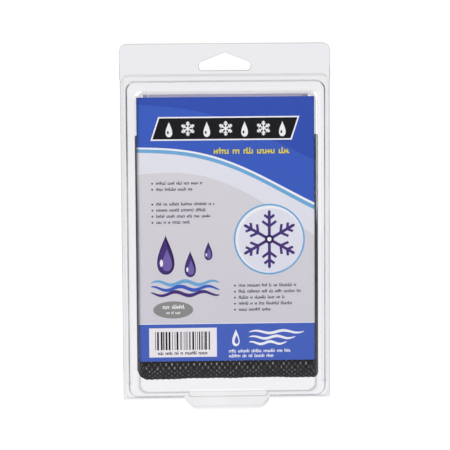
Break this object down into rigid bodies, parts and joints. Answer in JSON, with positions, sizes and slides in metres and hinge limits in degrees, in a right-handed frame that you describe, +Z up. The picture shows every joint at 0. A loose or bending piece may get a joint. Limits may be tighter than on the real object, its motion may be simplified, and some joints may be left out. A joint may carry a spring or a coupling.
{
  "type": "insulin cooling case",
  "caption": "Soft evaporative cooling wallet, a mesh cover round an inner pouch, behind a printed card in a clear hinged hanging case with a raised front, gripping rim and bottom foot.",
  "frame": {"origin": "apex of the hang hole, on the plane where the front and back halves of the case meet; the pack hangs from a peg there", "axes": "+Z up, +X to the right and +Y to the back as seen from the printed front, which faces -Y"},
  "size_m": [0.1218, 0.0185, 0.2122],
  "materials": {
    "clear_sheet": "clear thermoformed sheet, glossy",
    "printed_card": null,
    "mesh_knit": "coarse open knit, matte",
    "mesh_edge": "turned and sewn edge, matte",
    "pouch_cloth": "fine woven cloth, matte",
    "pouch_edge": "folded binding, matte",
    "absorbent_core": "absorbent wadding"
  },
  "bodies": {
    "back": {"back_shell": "clear_sheet", "hinge_left": "clear_sheet", "hinge_right": "clear_sheet", "printed_card": "printed_card", "cover_front_panel": "mesh_knit", "cover_back_panel": "mesh_knit", "cover_front_hem": "mesh_edge", "cover_back_hem": "mesh_edge", "cover_left_seam": "mesh_edge", "cover_right_seam": "mesh_edge", "cover_bottom_seam": "mesh_edge"},
    "front": {"front_shell": "clear_sheet"},
    "pouch": {"pouch_front_face": "pouch_cloth", "pouch_front_core": "absorbent_core", "pouch_front_lining": "pouch_cloth", "pouch_back_lining": "pouch_cloth", "pouch_back_core": "absorbent_core", "pouch_back_face": "pouch_cloth", "pouch_front_hem": "pouch_edge", "pouch_back_hem": "pouch_edge", "pouch_left_seam": "pouch_edge", "pouch_right_seam": "pouch_edge", "pouch_bottom_seam": "pouch_edge"}
  },
  "joints": [
    {"name": "shell_open", "type": "hinge", "parent": "back", "child": "front", "pos_m": [0, 0, -0.2024], "axis": [1, 0, 0], "range_deg": [0, 180]},
    {"name": "pouch_slide", "type": "slide", "parent": "back", "child": "pouch", "axis": [0, 0, -1], "range_m": [0, 0.022]}
  ]
}
